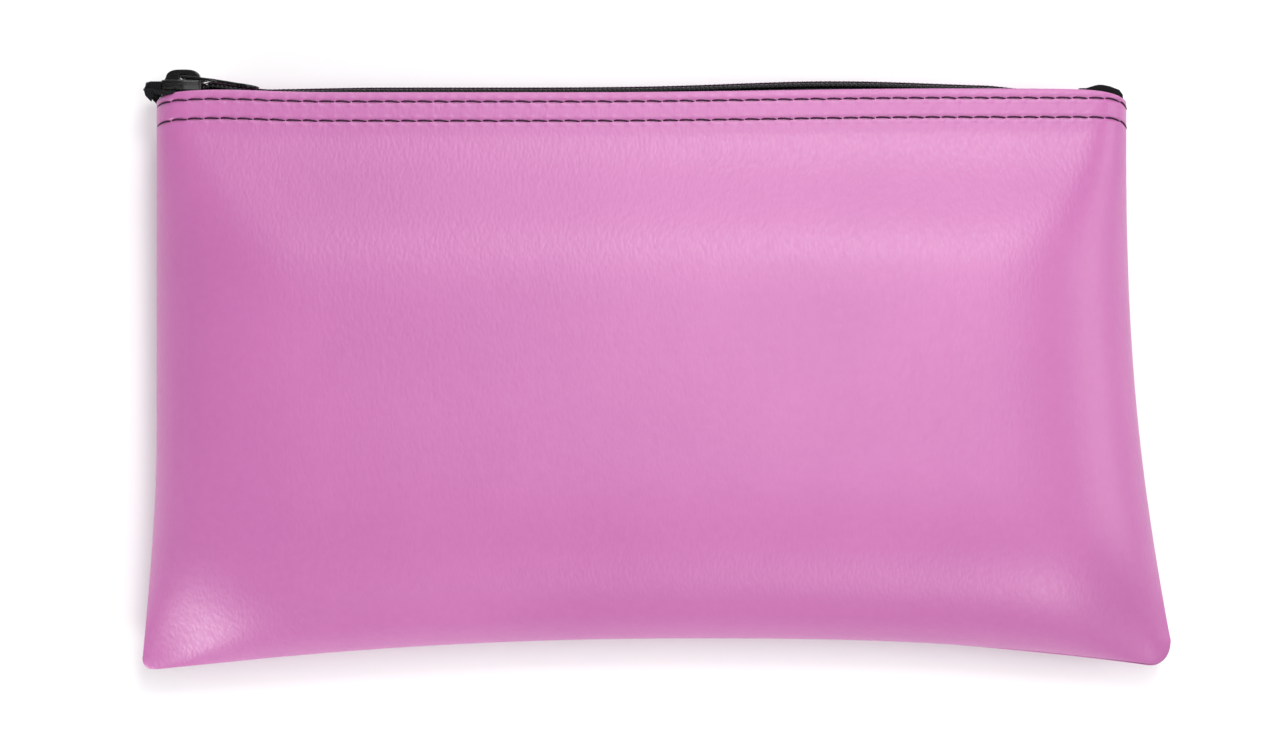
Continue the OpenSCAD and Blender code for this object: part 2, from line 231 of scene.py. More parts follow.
def vinyl_material():
    made = material("pink_vinyl", srgb(181, 103, 159), 0.4, Specular_IOR_Level=0.7)
    n = Nodes(made)
    tone = n.noise(38, detail=3)
    fine = n.noise(2.2, detail=3)
    shade = n.mix(n.spread(tone, 0, 1, 0.3, 0.7), srgb(174, 93, 153), srgb(179, 98, 157))
    shade = n.mix(n.spread(fine, 0.0, 0.1, 0.35, 0.65), shade, srgb(192, 114, 172))
    # Leather grain: short pebbles, longer along one diagonal
    slanted = n.mapped(scale=(1.0, 0.5, 1.0), turn=math.radians(-38))
    pebbles = n.cells(0.8, slanted)
    pits = n.noise(0.3, detail=2, vector=slanted)
    grain = n.math("ADD", n.math("MULTIPLY", pebbles, 0.8), n.math("MULTIPLY", pits, 0.35))
    normal = n.bump(grain, 0.55, 0.12, n.bump(n.noise(5, detail=2), 0.12, 0.25))
    n.use(shade, n.spread(pebbles, 0.34, 0.46), normal)
    return made


def backing_material():
    """The plain-woven cotton side of the coated sheet."""
    made = material("woven_backing", srgb(222, 216, 208), 0.9, Sheen_Weight=0.3)
    n = Nodes(made)
    warp = n.wave(0.62, "X", distortion=0.6)
    weft = n.wave(0.62, "Y", distortion=0.6)
    cloth = n.math("MULTIPLY", n.math("ADD", warp, weft), 0.5)
    colour = n.mix(cloth, srgb(196, 189, 180), srgb(234, 229, 222))
    slub = n.mix(n.spread(n.noise(9, detail=4), 0, 0.35, 0.45, 0.75), colour, srgb(205, 190, 185))
    n.use(slub, None, n.bump(cloth, 0.6, 0.2))
    return made


def tape_material():
    """Black zipper tape in a herringbone weave."""
    made = material("zipper_tape_weave", srgb(18, 18, 20), 0.85, Specular_IOR_Level=0.15)
    n = Nodes(made)
    rib = n.wave(0.55, "X", distortion=1.2)
    across = n.wave(0.4, "DIAGONAL", distortion=0.4)
    weave = n.math("MULTIPLY", n.math("ADD", rib, across), 0.5)
    n.use(n.mix(weave, srgb(4, 4, 5), srgb(24, 24, 26)), n.spread(weave, 0.9, 0.7), n.bump(weave, 0.6, 0.14))
    return made


def coil_material():
    """Black nylon monofilament, slightly scuffed."""
    made = material("nylon_coil", srgb(12, 12, 13), 0.35, Specular_IOR_Level=0.4)
    n = Nodes(made)
    scuff = n.noise(0.9, detail=4)
    n.use(n.mix(scuff, srgb(5, 5, 6), srgb(20, 20, 22)), n.spread(scuff, 0.26, 0.44, 0.3, 0.7),
          n.bump(n.noise(0.15), 0.15, 0.03))
    return made


def thread_material(name="sewing_thread", dark=srgb(24, 3, 20), light=srgb(62, 14, 52)):
    """Twisted polyester thread: fine filaments run along the strands."""
    made = material(name, dark, 0.6, Specular_IOR_Level=0.2)
    n = Nodes(made)
    filaments = n.wave(0.16, "DIAGONAL", distortion=1.5)
    n.use(n.mix(filaments, dark, light), n.spread(filaments, 0.6, 0.42), n.bump(filaments, 0.4, 0.03))
    return made


def enamel_material():
    """Glossy black enamel on cast zinc, with dull scratches and wear along its edges."""
    made = material("black_enamel", srgb(6, 6, 7), 0.2, Specular_IOR_Level=0.25, Coat_Weight=0.15,
                    Coat_Roughness=0.1)
    n = Nodes(made)
    scratches = n.noise(0.5, detail=5, vector=n.mapped(scale=(0.25, 1, 1), turn=0.5))
    edge = n.add("ShaderNodeNewGeometry").outputs["Pointiness"]
    worn = n.math("MULTIPLY", n.spread(edge, 0, 1, 0.56, 0.66), n.spread(scratches, 0, 1, 0.45, 0.6))
    colour = n.mix(n.math("MULTIPLY", worn, 0.4), srgb(6, 6, 7), srgb(88, 86, 84))
    n.use(colour, n.spread(scratches, 0.14, 0.34, 0.35, 0.7), n.bump(n.noise(0.7, detail=3), 0.12, 0.05))
    return made


VINYL = vinyl_material()
BACKING = backing_material()
TAPE = tape_material()
COIL = coil_material()
THREAD = thread_material()
CORD = thread_material("filler_cord", srgb(6, 6, 7), srgb(24, 24, 26))
ENAMEL = enamel_material()


# ---------------------------------------------------------------- mesh helpers
class Shape:
    """Points and faces of one piece, collected part by part. Points are in millimetres."""

    def __init__(self):
        self.points, self.faces, self.slots = [], [], []
        self.count = 0

    def add(self, points, faces, slot=0):
        points = np.asarray(points, float).reshape(-1, 3)
        self.points.append(points)
        self.faces += [tuple(self.count + i for i in face) for face in faces]
        self.slots += [slot] * len(faces)
        self.count += len(points)

    def piece(self, name, *materials, tidy=False):
        mesh = bpy.data.meshes.new(name)
        mesh.from_pydata((np.vstack(self.points) * MM).tolist(), [], self.faces)
        for made in materials:
            mesh.materials.append(made)
        mesh.polygons.foreach_set("material_index", self.slots)
        if tidy:
            work = bmesh.new()
            work.from_mesh(mesh)
            bmesh.ops.recalc_face_normals(work, faces=work.faces)
            work.to_mesh(mesh)
            work.free()
        mesh.shade_smooth()
        obj = bpy.data.objects.new(name, mesh)
        bpy.context.scene.collection.objects.link(obj)
        return obj


def strip_faces(rows, columns, around=True):
    """Quads of a grid of rows by columns. `around` joins each row's last point to its first."""
    last = columns if around else columns - 1
    return [(r * columns + c, r * columns + (c + 1) % columns,
             (r + 1) * columns + (c + 1) % columns, (r + 1) * columns + c)
            for r in range(rows - 1) for c in range(last)]


def loft(shape, rings, slot=0):
    """Skins closed rings of equal length, and closes both ends."""
    rings = np.asarray(rings, float)
    n, m = rings.shape[:2]
    faces = strip_faces(n, m)
    faces += [tuple(range(m - 1, -1, -1)), tuple(range((n - 1) * m, n * m))]
    shape.add(rings, faces, slot)


def frames(path, up):
    """Unit vectors across each point of a path: one as near `up` as it can be, and one beside it."""
    along = np.gradient(path, axis=0)
    along /= np.linalg.norm(along, axis=1)[:, None]
    lift = up - (along @ up)[:, None] * along
    lift /= np.linalg.norm(lift, axis=1)[:, None]
    return lift, np.cross(along, lift)


PLY_DEPTH = 0.16           # how deep the grooves between a thread's plies are, as a share of its radius


def tube(shape, path, radius, sides=8, up=(0.0, 1.0, 0.0), plies=0, twist_mm=2.0, slot=0):
    """A round tube along a path. With plies it is a twisted thread."""
    path = np.asarray(path, float)
    lift, beside = frames(path, np.asarray(up, float))
    angle = np.linspace(0, 2 * math.pi, sides, endpoint=False)
    length = np.concatenate([[0], np.cumsum(np.linalg.norm(np.diff(path, axis=0), axis=1))])
    turned = plies * angle[None, :] - 2 * math.pi * length[:, None] / twist_mm
    swell = 1 + (PLY_DEPTH * np.cos(turned) if plies else 0)
    reach = np.broadcast_to(radius, len(path))[:, None] * swell
    rings = (path[:, None, :] + reach[:, :, None] * (np.cos(angle)[None, :, None] * lift[:, None, :]
                                                     + np.sin(angle)[None, :, None] * beside[:, None, :]))
    loft(shape, rings, slot)


# ---------------------------------------------------------------- the bag's outline and fullness
def rise(distance, reach):
    """How a filled sheet rises from a seam, from 0 to 1."""
    return (1 - (1 - clamp(distance / (1.28 * reach))) ** 3) ** 0.62


def rounded(distance, radius):
    """How far a corner's arc stands back from the line, near the line's end."""
    inside = radius - np.clip(distance, 0, radius)
    return radius - np.sqrt(radius ** 2 - inside ** 2)


def edge_left(y):
    """The left side: straight, then out to the corner."""
    return X_LEFT - 4.4 * clamp((-20 - y) / (HALF_H - 23)) ** 1.7


def edge_right(y):
    """The right side: it flares out all the way down."""
    return X_RIGHT + 12.6 * clamp((60 - y) / (HALF_H + 52)) ** 2.35


def edge_bottom(x, side=FRONT):
    """The bottom side: hollow, because the filling draws it in between the corners."""
    top = 10.0                     # where the hollow is deepest
    share = clamp(np.abs(x - top) / (HALF_W - 4.6 - np.sign(x - top) * top))
    hollow = np.where(x < top, 8.7 * share ** 2.1, 7.5 * share ** 2.6)
    level = -HALF_H + 8.7 + rounded(x + HALF_W, 3) + rounded(HALF_W - x, 7) - hollow
    # At the open end's corner the back sheet rolls out a little past the front one
    return level - (0.55 * smooth((x - 60) / 45) if side == BACK else 0)


def hem_bow(x):
    """The hem's edge waves a little along the zipper."""
    return -0.35 + smooth((x + 20) / 100) + 0.7 * bell(x, -118, 16)


def edge_top(x):
    """The hem's edge. It drops where the sheets come together at the side seams."""
    ends = 1.85 * np.exp(-(x - X_LEFT) / 2.8) + 2.6 * np.exp(-(X_RIGHT - x) / 5.2)
    return Y_HEM + hem_bow(x) - ends


def row_line(x):
    """The line that both rows of stitches run along. It drops later than the edge at the ends."""
    ends = 1.5 * np.exp(-(x - X_LEFT) / 2.8) + 2.6 * np.exp(-(X_RIGHT - x) / 2.2)
    return Y_HEM + hem_bow(x) - ends


def fullness(y, bottom, left, right, full, rim):
    """Height over the seam at a place, from its distances to the bottom and side seams. The sheet rises
    steeply from the side seams at the zipper and slowly lower down, and its lower corners lie flat."""
    below = Y_HEM - y
    reach = SIDE_REACH[0] + (SIDE_REACH[1] - SIDE_REACH[0]) * ease(below / 60)
    corner = np.minimum(np.hypot(bottom, left), np.hypot(bottom, right))
    return ((rim + (full - rim) * ease(below / 58)) * (1 - 0.5 * bell(corner, 0, CORNER_R))
            * rise(bottom, BOTTOM_REACH) * rise(left, reach) * rise(right, reach))


# ---------------------------------------------------------------- the hem's relief
FIRST_HOLE = X_LEFT + 0.5


def hem_relief(x, y):
    """Height that the stitching and the turned-in layer add to a panel near its zipper edge."""
    below = row_line(x) - y
    phase = (x - FIRST_HOLE) / PITCH
    hole = np.cos(math.pi * (phase - np.round(phase))) ** 6
    relief = 0.12 * bell(below, sum(ROWS) / 2, 2.2)
    for row in ROWS:
        relief = relief - GROOVE * bell(below, row, 0.5) - HOLE * hole * bell(below, row, 0.5)
        relief = relief + PUCKER * hole * (bell(below, row - 0.9, 0.4) + bell(below, row + 0.9, 0.4))
    step = smooth((below - HEM_W + 1.8) / 3) * (1 - smooth((below - HEM_W) / 34))
    return relief - 0.12 * step


GROOVE, HOLE, PUCKER = 0.22, 0.24, 0.24     # depths under the thread and at its holes, and height beside them


def outer_height(side, x, y):
    """Height of a panel's outer face over the seam plane at a place on the hem."""
    full = FRONT_H if side == FRONT else BACK_H
    plain = fullness(y, y - edge_bottom(x, side), x - edge_left(y), edge_right(y) - x, full, RIM)
    return GAP / 2 + plain + hem_relief(x, y)


# ---------------------------------------------------------------- the two panels
HEM_ZONE = 14.0
SEAM_COLUMNS, MIDDLE_COLUMNS = 26, 384
BODY_ROWS, HEM_ROWS, FOLD_ROWS = 64, 33, 7
ROLL_IN, ROLL_H = 0.6, 1.2        # the seam's edge rolls in by this much, over this height


def column_shares():
    """Places across a panel, from 0 to 1: close together at the side seams."""
    width = X_RIGHT - X_LEFT
    end = 12 / width * (np.arange(SEAM_COLUMNS) / SEAM_COLUMNS) ** 2
    middle = np.linspace(12 / width, 1 - 12 / width, MIDDLE_COLUMNS)
    return np.concatenate([end, middle, 1 - end[::-1]])


def panel_face(side, depth):
    """Points of a panel's outer face, or of its inner face where depth is the sheet's thickness."""
    u = column_shares()[None, :]
    body = ((np.arange(BODY_ROWS) / BODY_ROWS) ** 2.1)[:, None]
    below = np.linspace(HEM_ZONE, SHEET, HEM_ROWS)[:, None]
    layers = np.concatenate([np.ones((BODY_ROWS, 1)), 1 + smooth((HEM_W + 0.3 - below) / 0.6)]) * depth
    top = edge_top(X_LEFT + (X_RIGHT - X_LEFT) * u)
    bottom = edge_bottom(-HALF_W + 2 * HALF_W * u, side) + depth
    y = np.concatenate([bottom + (top - HEM_ZONE - bottom) * body, top - below])
    left = edge_left(y) + layers
    right = edge_right(y) - layers
    x = left + (right - left) * u
    full = (FRONT_H if side == FRONT else BACK_H) - layers
    lift = fullness(y, y - bottom, x - left, right - x, full, RIM - layers)
    if not depth:
        # The outer face has the hem's relief, and rolls in at the seam
        lift = lift + hem_relief(x, y) * smooth(lift / 4)
        roll = ROLL_IN * clamp(1 - lift / ROLL_H) ** 2
        x = x + roll * (np.exp(-(x - left) / 1.5) - np.exp(-(right - x) / 1.5))
        y = y + roll * np.exp(-(y - bottom) / 1.5)
    z = SEAM_Z + side * (GAP / 2 + lift)
    if side == BACK:
        # The bag's back lies flat on the table
        z = np.maximum(z, 0.85 * depth)
    return np.stack([x, y, z], axis=2)


def panel(side, name):
    """One coated sheet as a closed solid: outer face, folded zipper edge, inner face."""
    outer, inner = panel_face(side, 0.0), panel_face(side, SHEET)
    turn = np.linspace(0, math.pi, FOLD_ROWS + 2)[1:-1, None, None]
    middle, half = (outer[-1] + inner[-1]) / 2, (outer[-1] - inner[-1]) / 2
    fold = middle + np.cos(turn) * half + np.sin(turn) * np.array([0, SHEET, 0])
    rows = np.concatenate([outer, fold, inner[::-1]])
    n, m = rows.shape[:2]
    rows = np.concatenate([rows, rows[:1]])       # the last strip closes the cut edge at the seam
    faces, slots = [], []
    # The coating shows on the turned-in hem, and the woven backing on the rest of the inside
    rows_past_hem = round(HEM_ROWS * (HEM_ZONE - HEM_W) / (HEM_ZONE - SHEET))
    inner_hem_end = len(outer) + FOLD_ROWS + HEM_ROWS - rows_past_hem
    for face in strip_faces(n + 1, m, around=False):
        row = face[0] // m
        faces.append(tuple(i % (n * m) for i in face))
        slots.append(1 if inner_hem_end <= row < n - 1 else 0)
    for column in (0, m - 1):
        for r in range(len(outer) - 1):
            opposite = n - 1 - r
            faces.append((r * m + column, (r + 1) * m + column,
                          (opposite - 1) * m + column, opposite * m + column))
            slots.append(0)
        faces.append(tuple(r * m + column for r in range(len(outer) - 1, len(outer) + FOLD_ROWS + 1)))
        slots.append(0)
    shape = Shape()
    shape.add(rows[:n], faces)
    shape.slots = slots
    return shape.piece(name, VINYL, BACKING, tidy=True)


def bend_with_mouth(obj):
    """Bakes the piece's placement into its mesh and reads its points in millimetres; it does not bend the
    piece.
    """
    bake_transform(obj)
    points = np.zeros(len(obj.data.vertices) * 3, np.float32)
    obj.data.vertices.foreach_get("co", points)
    points = points.reshape(-1, 3) / MM


def settle(obj, side, slot_name, *nodes):
    """Front pieces have their placement baked into their mesh, and back pieces ride on the bag."""
    if side == FRONT:
        bend_with_mouth(obj)
    else:
        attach(obj, "bag")
    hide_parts(*nodes)


# ---------------------------------------------------------------- stitching
THREAD_TWIST = 1.1         # length of thread for one turn of its plies


def hem_stitches(side, row):
    """Each stitch comes up through a needle hole, lies on the sheet and goes down the next."""
    shape = Shape()
    count = math.ceil((X_RIGHT - FIRST_HOLE) / PITCH)
    for i in range(count):
        space = 0.08 + 0.05 * math.sin(2.1 * i + row)
        x0 = FIRST_HOLE + i * PITCH + space
        x1 = min(x0 + PITCH - 2 * space, X_RIGHT - 0.2)
        slant = -0.05 + 0.07 * math.sin(2.4 * i + row)
        t = np.linspace(0, 1, 15)
        x = x0 + (x1 - x0) * t
        y = row_line(x) - row + slant * (2 * t - 1) + 0.2 * np.sin(math.pi * t ** 0.75) - 0.1
        lift = 0.46 * np.sin(math.pi * t) ** 0.4 - 0.28
        z = SEAM_Z + side * (outer_height(side, x, y) + lift)
        tube(shape, np.stack([x, y, z], axis=1), 0.24, sides=9, plies=3, twist_mm=THREAD_TWIST)
    return shape


def seam_stitches(points):
    """Short stitches across the groove between the two sheets."""
    shape = Shape()
    t = np.linspace(0, 1, 9)[:, None]
    lift = (np.sin(math.pi * t) ** 0.45) * 0.42 - 0.3
    for i in range(len(points) - 1):
        a, b = np.array([*points[i], SEAM_Z]), np.array([*points[i + 1], SEAM_Z])
        along = (b - a) / np.linalg.norm(b - a)
        out = np.array([along[1], -along[0], 0.0])
        start, end = a + 0.7 * along, b - 0.9 * along
        tube(shape, start + (end - start) * t + lift * out, 0.2, sides=9, up=out, plies=3,
             twist_mm=THREAD_TWIST)
    return shape


# ---------------------------------------------------------------- the zipper chain
SPREAD_X = SLIDER_X + 2.5          # left of this the two rows run apart,
SPREAD = 1.5                       # each by this much
SLOPE_X1 = CORD_LOW[0] - 0.8       # right of this the chain is level
SLOPE_RUN = SLOPE_X1 - (SLIDER_X + SLIDER_HALF + 0.6)
POST_X0, POST_X1 = SLIDER_X - 5.2, SLIDER_X - 2.9      # the slider's post, when the bag is closed
POST_AT_OPEN = (POST_X0 + POST_X1) / 2 + TRAVEL["range_m"][1] / MM
ROOM_FOR_POST = 1.6
BOW_X0, BOW_X1 = -112, 102.5       # where the chain's slack bow starts and ends
BOW_MIDDLE, BOW_WIDTH = 48, 38
TAB_BED = 0.6                      # the chain's rise under the pull tab
DIP_X = 116.5                      # right of this the chain dips, out of the pull tab's way


def chain_rise(x):
    """How far the chain runs above its level: up to the slider, and in a slack bow along the hem."""
    bow = ((0.55 + 1.7 * bell(x, BOW_MIDDLE, BOW_WIDTH))
           * smooth((BOW_X1 - x) / 14) * smooth((x - BOW_X0) / 40))
    under_tab = TAB_BED * smooth((x - SLOPE_X1 + SLOPE_RUN + 0.4) / 2) * smooth((SLOPE_X1 - 3.5 - x) / 12)
    return (LIFT * clamp((SLOPE_X1 - x) / SLOPE_RUN) + under_tab + bow - smooth((x - DIP_X) / 4)
            + 0.5 * smooth((SLIDER_X - SLIDER_HALF - x) / 2.5))


def on_chain(points, side):
    """Moves points of a straight, level chain, with z out from its middle, to where the chain runs."""
    points = np.array(points, float)
    x, z = points[..., 0], points[..., 2]
    apart = SPREAD * smooth((SPREAD_X - x) / 5)
    points[..., 1] += chain_rise(x)
    points[..., 2] = SEAM_Z + side * (z + apart)
    return points


WIRE_R = 0.3
COIL_TIP, COIL_BACK = -0.65, 2.65      # a loop's two ends, out from the chain's middle
CORD_R, CORD_Z = 0.5, 1.75


def coil_row(side):
    """A flattened spiral of monofilament. Its loops mesh with those of the other row."""
    per_loop = 14
    loops = int((CORD_HIGH[0] + 1.5 - TAPE_X0 - 0.6) / COIL_PITCH)
    angle = np.arange(loops * per_loop) / per_loop * 2 * math.pi
    across = np.cos(angle)
    upward = np.sin(angle)
    phase = 0 if side == FRONT else 0.5
    x = TAPE_X0 + 0.6 + COIL_PITCH * (angle / (2 * math.pi) + phase)
    # The loops stop short where the slider's post stands when the bag is open
    tip = COIL_TIP + ROOM_FOR_POST * smooth((2.7 - np.abs(x - POST_AT_OPEN)) / 1.2)
    half_z, half_y = (COIL_BACK - tip) / 2 - WIRE_R, COIL_H / 2 - WIRE_R
    y = Y_COIL + COIL_H / 2 + half_y * np.sign(upward) * np.abs(upward) ** 0.6
    z = (tip + COIL_BACK) / 2 + half_z * np.sign(across) * np.abs(across) ** 0.7
    shape = Shape()
    tube(shape, on_chain(np.stack([x, y, z], axis=1), side), WIRE_R, sides=6, up=(1, 0, 0))
    return shape


def coil_cord(side):
    """The cord that fills a row's loops, and that its stitching is sewn through."""
    x = np.arange(TAPE_X0 + 1.2, CORD_HIGH[0] + 0.6, 0.8)
    path = np.stack([x, np.full_like(x, Y_COIL + COIL_H / 2), np.full_like(x, CORD_Z)], axis=1)
    shape = Shape()
    tube(shape, on_chain(path, side), CORD_R, sides=8, plies=3, twist_mm=3.0)
    return shape


def coil_stitching(side):
    """The chain stitch that holds a row: over its loops, and flat on the back of the tape."""
    shape = Shape()
    x = np.arange(SPREAD_X, CORD_HIGH[0], COIL_PITCH / 4)
    dip = 0.07 * np.cos(2 * math.pi * x / COIL_PITCH)
    for y, z in ((Y_COIL + COIL_H + 0.03 + dip, 1.55), (Y_COIL + COIL_H + 0.03 - dip, 2.05),
                 (Y_TAPE - 0.06 + 0 * dip, 1.9)):
        tube(shape, on_chain(np.stack([x, y, np.full_like(x, z)], axis=1), side), 0.13, sides=6)
    return shape


def tape_half(side):
    """One half of the woven tape: under its coil, round the bend, and down behind the hem."""
    bend_r = 1.15
    wall_z = 5.25                  # where the tape hangs down, out from the chain's middle
    flat_z0, flat_z1 = 1.2, wall_z - bend_r
    x = np.concatenate([np.arange(TAPE_X0 - 0.15, X_LEFT + 2, 0.15), np.arange(X_LEFT + 2.5, TAPE_X1, 0.75)])
    # The tape is narrow where it leaves the side seams, and its closed end hangs down to a slant
    narrow_x0, narrow_x1 = -129.5, 119
    ends = smooth((x - narrow_x0) / 5) * smooth((narrow_x1 - x) / 5)
    hang = 2.4 * smooth((X_LEFT - 0.05 - x) / 0.35) * clamp((x - TAPE_X0 + 0.4) / 2.4)
    length = 4.4 + 13.6 * ends + hang - 1.6 * smooth((TAPE_X0 + 0.7 - x) / 0.9)
    share = np.concatenate([np.linspace(0, 0.3, 12), np.linspace(0.34, 1, 12)])
    s = np.maximum(length, 2.2)[:, None] * share[None, :]
    flat = flat_z1 - flat_z0
    arc = bend_r * math.pi / 2
    angle = np.clip((s - flat) / bend_r, 0, math.pi / 2)
    down = np.maximum(s - flat - arc, 0)
    z = flat_z0 + np.minimum(s, flat) + bend_r * np.sin(angle)
    y = -bend_r * (1 - np.cos(angle)) - down
    normal_z, normal_y = np.sin(angle), np.cos(angle)
    y = y + Y_TAPE + TAPE_T / 2
    grid = np.stack([np.broadcast_to(x[:, None], s.shape), y, z], axis=2)
    out = np.stack([np.zeros_like(s), normal_y, normal_z], axis=2) * TAPE_T / 2
    rings = np.concatenate([grid + out, (grid - out)[:, ::-1]], axis=1)
    shape = Shape()
    loft(shape, on_chain(rings, side))
    closed_end(shape, side)
    open_end(shape, side)
    return shape


def fold(shape, side, x, top, low, middle_z):
    """A folded end of the tape: a thin pad beside the coil, between two lines in plan."""
    angle = np.linspace(0, 2 * math.pi, 18, endpoint=False)
    up, out = np.sign(np.sin(angle)) * np.abs(np.sin(angle)) ** 0.5, np.cos(angle)
    half_y = np.maximum((top - low) / 2, 0.12)[:, None]
    y = ((top + low) / 2)[:, None] + half_y * up
    z = middle_z[:, None] + 0.3 * out
    loft(shape, np.stack([np.broadcast_to(x[:, None], y.shape), y, SEAM_Z + side * z], axis=2))


def closed_end(shape, side):
    """The tape's closed end is cut to a slant and hangs out over the side seam."""
    x = np.linspace(X_LEFT - 2.65, SLIDER_X - SLIDER_HALF + 0.1, 30)
    from_seam = x - X_LEFT
    top = WING_TOP - 0.4 - 1.8 * clamp((-0.9 - from_seam) / 1.75) ** 2
    low = Y_HEM + np.interp(from_seam, [-2.65, -0.15, 0.1, 1.6], [0.7, -1.6, -1.0, -0.5])
    fold(shape, side, x, top, low, np.full_like(x, 4.6))


def open_end(shape, side):
    """The tape's open end is turned up and over beside the coil, and closes the corner."""
    t = np.linspace(0, 1, 26)
    x = X_RIGHT - 13.5 + 12.0 * t
    top = Y_HEM + np.interp(t, [0, 0.1, 0.38, 0.44, 0.55, 0.7, 0.93, 1],
                            [0.3, 0.7, 1.75, 1.9, 1.9, 1.55, 0.5, -0.8])
    low = np.minimum(edge_top(x) - 0.9 + 0.3 * smooth((t - 0.6) / 0.4), top - 0.2)
    fold(shape, side, x, top, low, np.full_like(x, 3.74))


# ---------------------------------------------------------------- slider, pull and stops
WING_T = 0.7
WING_TOP = PIVOT[1] - 0.95
SLOT_Y = Y_COIL + LIFT + 0.3
INNER_WING_Y = Y_TAPE + LIFT - 0.3


def wing_ring(x, half, top, under, lip_end):
    """Section of a slider wing: a plate with a rounded edge and a lip along each side."""
    lip = 0.55
    corner = min(0.45, abs(top - under) * 0.6)
    sign = 1 if top > under else -1
    arc = [(half - corner + corner * math.sin(a), top - sign * corner + sign * corner * math.cos(a))
           for a in np.linspace(0, math.pi / 2, 5)]
    right = arc + [(half, lip_end), (half - lip, lip_end), (half - lip, under)]
    ring = [(z, y) for z, y in right] + [(-z, y) for z, y in right[::-1]]
    return [(SLIDER_X + x, y, SEAM_Z + z) for z, y in ring]


def slider_shell():
    """The slider's upper and lower wings, and the post that joins them."""
    shape = Shape()
    # X along the slider, half-width, and how far the rounded ends drop
    stations = ((-5.5, 3.9, 0.3), (-5.38, 4.4, 0.14), (-5.05, 4.85, 0.03), (-4.4, 5.1, 0), (-0.4, 5.1, 0),
                (1.2, 4.86, 0), (3.0, 4.45, 0), (4.4, 4.2, 0),
                (5.05, 4.0, 0.03), (5.38, 3.6, 0.14), (5.5, 3.2, 0.3))
    loft(shape, [wing_ring(x, half, WING_TOP - drop, WING_TOP - WING_T + drop / 2, SLOT_Y)
                 for x, half, drop in stations])
    loft(shape, [wing_ring(x, half - 0.6, INNER_WING_Y - WING_T + drop, INNER_WING_Y - drop / 2, INNER_WING_Y)
                 for x, half, drop in stations])
    post(shape)
    return shape


def post(shape):
    """The wedge between the two wings that parts the rows."""
    middle, half = (POST_X0 + POST_X1) / 2, (POST_X1 - POST_X0) / 2
    rings = []
    for y in (INNER_WING_Y - 0.3, WING_TOP - 0.3):
        plan = [(middle + half * math.cos(a), 0.65 * math.sin(a) * (1.2 - 0.3 * math.cos(a)))
                for a in np.linspace(0, 2 * math.pi, 20, endpoint=False)]
        rings.append([(x, y, SEAM_Z + z) for x, z in plan])
    loft(shape, rings)


def outline_curve(name, loops, half_thick, bevel):
    """A flat plate with holes and rounded edges, from closed outlines in its own plane."""
    curve = bpy.data.curves.new(name, "CURVE")
    curve.dimensions = "2D"
    curve.fill_mode = "BOTH"
    curve.extrude = (half_thick - bevel) * MM
    curve.bevel_depth = bevel * MM
    curve.bevel_resolution = 3
    curve.offset = -bevel * MM
    for loop in loops:
        spline = curve.splines.new("POLY")
        spline.points.add(len(loop) - 1)
        spline.use_cyclic_u = True
        for point, (a, b) in zip(spline.points, loop):
            point.co = (a * MM, b * MM, 0, 1)
    holder = bpy.data.objects.new(name, curve)
    bpy.context.scene.collection.objects.link(holder)
    bpy.context.view_layer.update()
    mesh = bpy.data.meshes.new_from_object(holder.evaluated_get(bpy.context.evaluated_depsgraph_get()))
    bpy.data.objects.remove(holder)
    return mesh


def arc_points(cx, cy, radius, start, end, count=14):
    return [(cx + radius * math.cos(a), cy + radius * math.sin(a))
            for a in np.radians(np.linspace(start, end, count))]


def bridge_piece():
    """The arch that holds the pull tab: a rounded box with a small slot for the tab's bar."""
    height = bag_high[1] - WING_TOP - 0.25
    angle = np.radians(np.linspace(0, 180, 49))
    boxy = 2 / 2.9
    crown = [(4.7 * np.sign(c) * abs(c) ** boxy, height * s ** boxy)
             for c, s in zip(np.cos(angle), np.sin(angle).clip(0))]
    crown = [(a, b) for a, b in crown if b > 0.9]
    outer = ([(5.35, -0.3), (5.2, 0.1), (4.9, 0.45)] + crown + [(-4.9, 0.45), (-5.2, 0.1), (-5.35, -0.3)])
    bar_y = PIVOT[1] - WING_TOP
    slot = arc_points(0.3, bar_y, 0.56, -90, 90, 12) + arc_points(-0.3, bar_y, 0.56, 90, 270, 12)
    mesh = outline_curve("bridge_plan", [outer, slot], 1.4, 0.35)
    mesh.transform(Matrix.Translation(Vector((SLIDER_X, WING_TOP, SEAM_Z)) * MM))
    mesh.materials.append(ENAMEL)
    obj = bpy.data.objects.new("slider_bridge", mesh)
    bpy.context.scene.collection.objects.link(obj)
    return obj


